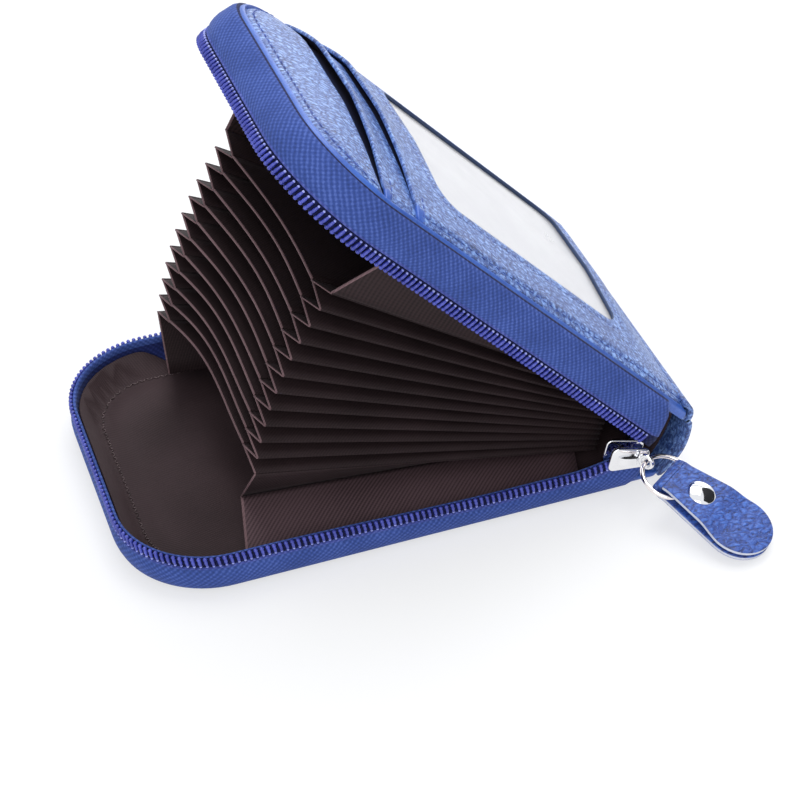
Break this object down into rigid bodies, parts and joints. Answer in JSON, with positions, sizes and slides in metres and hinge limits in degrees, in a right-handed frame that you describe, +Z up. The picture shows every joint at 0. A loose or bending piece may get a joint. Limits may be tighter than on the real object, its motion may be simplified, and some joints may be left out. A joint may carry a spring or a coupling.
{
  "type": "zip card holder",
  "caption": "Zip-round leather card holder with an accordion of pockets, a window and card slots on the front, and a slider with a riveted tab.",
  "frame": {"origin": "centre of the back cover's outer face, which lies on the ground", "axes": "+X from the slot end to the spine, along the case; +Y across it, away from the slider's side; +Z up, out of the back cover"},
  "size_m": [0.124, 0.1001, 0.0927],
  "materials": {
    "leather": "pebbled, satin",
    "stiffener": "plain board",
    "lining": "satin twill",
    "accordion": "satin twill",
    "zip_tape": "woven",
    "zip_coil": "moulded",
    "pocket_back": "plain cloth",
    "film": "clear, glossy",
    "chrome": "polished"
  },
  "bodies": {
    "back": {"back_leather": "leather", "back_board": "stiffener", "back_lining": "lining", "back_zip_tape": "zip_tape", "back_zip_coil": "zip_coil", "bottom_stop": "zip_coil", "back_top_stop": "zip_coil", "spine_leather": "leather", "spine_lining": "lining", "pocket_bottom": "lining", "gusset_near": "accordion", "gusset_far": "accordion", "back_flap_near": "accordion", "back_flap_far": "accordion", "front_flap_near": "accordion", "front_flap_far": "accordion"},
    "front": {"front_leather": "leather", "front_board": "stiffener", "front_lining": "lining", "front_zip_tape": "zip_tape", "front_zip_coil": "zip_coil", "front_top_stop": "zip_coil", "slot_panel": "leather", "window_panel": "leather", "window_film": "film", "card_pocket_back": "pocket_back"},
    "slider": {"slider": "chrome"},
    "ring": {"pull_ring": "chrome"},
    "tab": {"pull_tab": "leather", "rivet": "chrome", "rivet_back": "chrome"},
    "divider_01": {"divider_01": "accordion"},
    "divider_02": {"divider_02": "accordion"},
    "divider_03": {"divider_03": "accordion"},
    "divider_04": {"divider_04": "accordion"},
    "divider_05": {"divider_05": "accordion"},
    "divider_06": {"divider_06": "accordion"},
    "divider_07": {"divider_07": "accordion"},
    "divider_08": {"divider_08": "accordion"},
    "divider_09": {"divider_09": "accordion"},
    "divider_10": {"divider_10": "accordion"},
    "divider_11": {"divider_11": "accordion"}
  },
  "joints": [
    {"name": "front_open", "type": "hinge", "parent": "back", "child": "front", "pos_m": [0.05, 0, 0.01], "axis": [0, 1, 0], "range_deg": [-46.6, 38.4], "deforming": ["spine_leather", "spine_lining", "pocket_bottom", "gusset_near", "gusset_far", "back_flap_near", "back_flap_far", "front_flap_near", "front_flap_far"]},
    {"name": "divider_01_turn", "type": "hinge", "parent": "back", "child": "divider_01", "pos_m": [0.05, 0, 0.01], "axis": [0, 1, 0], "range_deg": [-13.8, 11.46]},
    {"name": "divider_02_turn", "type": "hinge", "parent": "back", "child": "divider_02", "pos_m": [0.05, 0, 0.01], "axis": [0, 1, 0], "range_deg": [-15.8, 13.11]},
    {"name": "divider_03_turn", "type": "hinge", "parent": "back", "child": "divider_03", "pos_m": [0.05, 0, 0.01], "axis": [0, 1, 0], "range_deg": [-17.8, 14.76]},
    {"name": "divider_04_turn", "type": "hinge", "parent": "back", "child": "divider_04", "pos_m": [0.05, 0, 0.01], "axis": [0, 1, 0], "range_deg": [-19.8, 16.4]},
    {"name": "divider_05_turn", "type": "hinge", "parent": "back", "child": "divider_05", "pos_m": [0.05, 0, 0.01], "axis": [0, 1, 0], "range_deg": [-21.8, 18.05]},
    {"name": "divider_06_turn", "type": "hinge", "parent": "back", "child": "divider_06", "pos_m": [0.05, 0, 0.01], "axis": [0, 1, 0], "range_deg": [-23.8, 19.7]},
    {"name": "divider_07_turn", "type": "hinge", "parent": "back", "child": "divider_07", "pos_m": [0.05, 0, 0.01], "axis": [0, 1, 0], "range_deg": [-25.8, 21.35]},
    {"name": "divider_08_turn", "type": "hinge", "parent": "back", "child": "divider_08", "pos_m": [0.05, 0, 0.01], "axis": [0, 1, 0], "range_deg": [-27.8, 23]},
    {"name": "divider_09_turn", "type": "hinge", "parent": "back", "child": "divider_09", "pos_m": [0.05, 0, 0.01], "axis": [0, 1, 0], "range_deg": [-29.8, 24.64]},
    {"name": "divider_10_turn", "type": "hinge", "parent": "back", "child": "divider_10", "pos_m": [0.05, 0, 0.01], "axis": [0, 1, 0], "range_deg": [-31.8, 26.29]},
    {"name": "divider_11_turn", "type": "hinge", "parent": "back", "child": "divider_11", "pos_m": [0.05, 0, 0.01], "axis": [0, 1, 0], "range_deg": [-33.8, 27.94]},
    {"name": "slider_slide", "type": "slide", "parent": "back", "child": "slider", "axis": [-1, 0, 0], "range_m": [0, 0.077]},
    {"name": "ring_swing", "type": "hinge", "parent": "slider", "child": "ring", "pos_m": [0.0482, -0.03905, 0.01], "axis": [0.8192, 0.5736, 0], "range_deg": [-75, 0]},
    {"name": "tab_turn", "type": "hinge", "parent": "ring", "child": "tab", "pos_m": [0.05112, -0.04322, 0.00852], "axis": [0.1604, -0.2291, 0.9601], "range_deg": [-35, 35]}
  ],
  "couplings": [
    {"joint": "divider_01_turn", "follows": "front_open", "ratio": 0.28541},
    {"joint": "divider_02_turn", "follows": "front_open", "ratio": 0.32833},
    {"joint": "divider_03_turn", "follows": "front_open", "ratio": 0.37124},
    {"joint": "divider_04_turn", "follows": "front_open", "ratio": 0.41416},
    {"joint": "divider_05_turn", "follows": "front_open", "ratio": 0.45708},
    {"joint": "divider_06_turn", "follows": "front_open", "ratio": 0.5},
    {"joint": "divider_07_turn", "follows": "front_open", "ratio": 0.54292},
    {"joint": "divider_08_turn", "follows": "front_open", "ratio": 0.58584},
    {"joint": "divider_09_turn", "follows": "front_open", "ratio": 0.62875},
    {"joint": "divider_10_turn", "follows": "front_open", "ratio": 0.67167},
    {"joint": "divider_11_turn", "follows": "front_open", "ratio": 0.71459}
  ]
}
